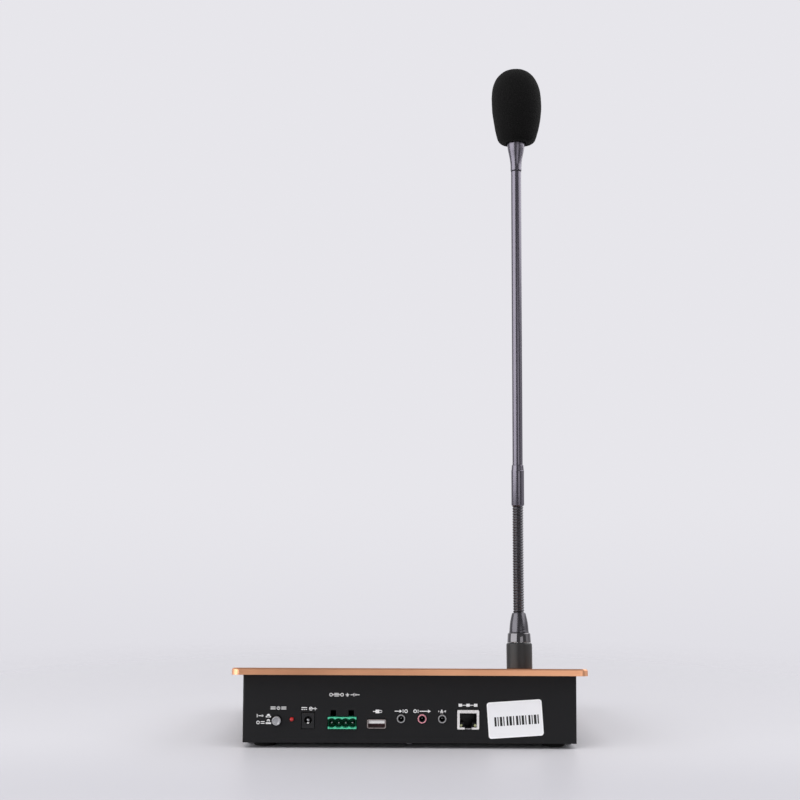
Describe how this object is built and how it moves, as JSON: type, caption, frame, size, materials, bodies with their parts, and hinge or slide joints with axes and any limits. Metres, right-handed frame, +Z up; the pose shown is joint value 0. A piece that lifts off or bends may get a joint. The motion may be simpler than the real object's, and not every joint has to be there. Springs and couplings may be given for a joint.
{
  "type": "gooseneck paging microphone console",
  "caption": "Desktop paging console: sloped copper panel on a black steel case with rear sockets, and a plug-in gooseneck microphone with a foam windscreen.",
  "frame": {"origin": "centre of the footprint, on the plane under the rubber feet", "axes": "+Z up, +Y towards the connector wall at the rear, the user sits on the -Y side, +X to the user's right"},
  "size_m": [0.259, 0.1959, 0.5158],
  "materials": {
    "case_paint": "black powder coat, fine texture",
    "copper_anodised": "brushed copper anodised aluminium",
    "zinc_steel": "zinc plated",
    "black_rubber": "matt",
    "board_green": "solder mask",
    "chip_black": "moulded",
    "gold_plate": "gold plated",
    "brass_part": "turned",
    "black_plastic": "moulded",
    "cap_grey": "satin moulded",
    "red_lens": "tinted clear",
    "terminal_green": "moulded",
    "nickel_shell": "nickel plated stamping",
    "white_plastic": "moulded",
    "jack_grey": "moulded",
    "jack_pink": "moulded",
    "lamp_amber": "tinted clear",
    "label_paper": "coated paper",
    "cover_glass": "black bordered cover glass",
    "display_black": "display module",
    "speaker_steel": "pressed steel",
    "speaker_paper": "coated paper",
    "magnet_ferrite": "ferrite",
    "key_silicone": "satin moulded",
    "talk_key_red": "satin moulded",
    "sleeve_black": "satin black anodised",
    "ring_gloss_black": "gloss black",
    "gunmetal": "satin gunmetal",
    "neck_black": "black oxide spiral tube",
    "cage_steel": "perforated",
    "foam_charcoal": "open cell foam"
  },
  "bodies": {
    "console": {"case_body": "case_paint", "bottom_cover": "case_paint", "cover_screws": "zinc_steel", "rubber_feet": "black_rubber", "top_panel": "copper_anodised", "panel_screws": "zinc_steel", "touch_glass": "cover_glass", "lcd_module": "display_black", "speaker_frame": "speaker_steel", "speaker_cone": "speaker_paper", "speaker_magnet": "magnet_ferrite", "key_board": "board_green", "key_switches": "black_plastic", "key_board_screws": "zinc_steel", "main_board": "board_green", "board_standoffs": "brass_part", "board_screws": "zinc_steel", "board_chips": "chip_black", "power_switch": "black_plastic", "power_lamp": "red_lens", "dc_jack_housing": "black_plastic", "dc_jack_pin": "zinc_steel", "terminal_header": "terminal_green", "terminal_pins": "zinc_steel", "usb_shell": "nickel_shell", "usb_tongue": "white_plastic", "audio_jacks": "black_plastic", "audio_jack_rings": "jack_grey", "aux_jack_ring": "jack_pink", "lan_jack_shield": "nickel_shell", "lan_jack_insert": "black_plastic", "lan_jack_lamps": "lamp_amber", "lan_jack_contacts": "gold_plate", "address_label": "label_paper", "mic_socket": "sleeve_black", "socket_nut": "brass_part"},
    "power_button": {"power_button": "cap_grey"},
    "talk_key": {"talk_key": "talk_key_red"},
    "mic_plug": {"plug_body": "zinc_steel", "plug_pins": "gold_plate", "taper_ring": "ring_gloss_black", "neck_ferrule": "gunmetal", "neck_link_1": "neck_black"},
    "lock_ring": {"lock_ring": "sleeve_black"},
    "stem": {"neck_link_7": "neck_black", "neck_collar": "gunmetal", "stem_tube": "gunmetal", "capsule_housing": "gunmetal", "capsule_cage": "cage_steel", "capsule": "zinc_steel"},
    "windscreen": {"windscreen": "foam_charcoal"},
    "function_key_1": {"function_key_1": "key_silicone"},
    "function_key_2": {"function_key_2": "key_silicone"},
    "function_key_3": {"function_key_3": "key_silicone"},
    "function_key_4": {"function_key_4": "key_silicone"},
    "neck_link_2": {"neck_link_2": "neck_black"},
    "neck_link_3": {"neck_link_3": "neck_black"},
    "neck_link_4": {"neck_link_4": "neck_black"},
    "neck_link_5": {"neck_link_5": "neck_black"},
    "neck_link_6": {"neck_link_6": "neck_black"}
  },
  "joints": [
    {"name": "power_button_press", "type": "slide", "parent": "console", "child": "power_button", "axis": [0, -1, 0], "range_m": [0, 0.002], "stiffness_N_per_m": 800, "springref_m": -0.001},
    {"name": "talk_key_press", "type": "slide", "parent": "console", "child": "talk_key", "axis": [0, 0.1305, -0.9914], "range_m": [0, 0.0009], "stiffness_N_per_m": 800, "springref_m": -0.001},
    {"name": "function_key_1_press", "type": "slide", "parent": "console", "child": "function_key_1", "axis": [0, 0.1305, -0.9914], "range_m": [0, 0.0009], "stiffness_N_per_m": 600, "springref_m": -0.001},
    {"name": "function_key_2_press", "type": "slide", "parent": "console", "child": "function_key_2", "axis": [0, 0.1305, -0.9914], "range_m": [0, 0.0009], "stiffness_N_per_m": 600, "springref_m": -0.001},
    {"name": "function_key_3_press", "type": "slide", "parent": "console", "child": "function_key_3", "axis": [0, 0.1305, -0.9914], "range_m": [0, 0.0009], "stiffness_N_per_m": 600, "springref_m": -0.001},
    {"name": "function_key_4_press", "type": "slide", "parent": "console", "child": "function_key_4", "axis": [0, 0.1305, -0.9914], "range_m": [0, 0.0009], "stiffness_N_per_m": 600, "springref_m": -0.001},
    {"name": "mic_unplug", "type": "slide", "parent": "console", "child": "mic_plug", "axis": [0, -0.1305, 0.9914], "range_m": [0, 0.035]},
    {"name": "lock_ring_turn", "type": "hinge", "parent": "mic_plug", "child": "lock_ring", "pos_m": [-0.083, 0.05617, 0.06318], "axis": [0, -0.1305, 0.9914], "range_deg": [0, 720]},
    {"name": "neck_pitch_1", "type": "hinge", "parent": "mic_plug", "child": "neck_link_2", "pos_m": [-0.083, 0.05111, 0.10161], "axis": [1, 0, 0], "range_deg": [-17, 23]},
    {"name": "neck_roll_1", "type": "hinge", "parent": "neck_link_2", "child": "neck_link_3", "pos_m": [-0.083, 0.05005, 0.1151], "axis": [0, 0.9969, 0.0785], "range_deg": [-20, 20]},
    {"name": "neck_pitch_2", "type": "hinge", "parent": "neck_link_3", "child": "neck_link_4", "pos_m": [-0.08298, 0.04899, 0.12859], "axis": [1, 0.0001, -0.0017], "range_deg": [-17, 23]},
    {"name": "neck_roll_2", "type": "hinge", "parent": "neck_link_4", "child": "neck_link_5", "pos_m": [-0.08295, 0.04863, 0.14212], "axis": [-0.0001, 0.9997, 0.0262], "range_deg": [-20, 20]},
    {"name": "neck_pitch_3", "type": "hinge", "parent": "neck_link_5", "child": "neck_link_6", "pos_m": [-0.08291, 0.04828, 0.15565], "axis": [1, 0.0002, -0.0035], "range_deg": [-17, 23]},
    {"name": "neck_roll_3", "type": "hinge", "parent": "neck_link_6", "child": "stem", "pos_m": [-0.08286, 0.04863, 0.16918], "axis": [-0.0003, 0.9997, -0.0262], "range_deg": [-20, 20]},
    {"name": "windscreen_pull", "type": "slide", "parent": "stem", "child": "windscreen", "axis": [0.0052, 0.0262, 0.9996], "range_m": [0, 0.06]}
  ],
  "couplings": [
    {"joint": "neck_pitch_2", "follows": "neck_pitch_1", "ratio": 1},
    {"joint": "neck_pitch_3", "follows": "neck_pitch_1", "ratio": 1},
    {"joint": "neck_roll_2", "follows": "neck_roll_1", "ratio": 1},
    {"joint": "neck_roll_3", "follows": "neck_roll_1", "ratio": 1}
  ]
}
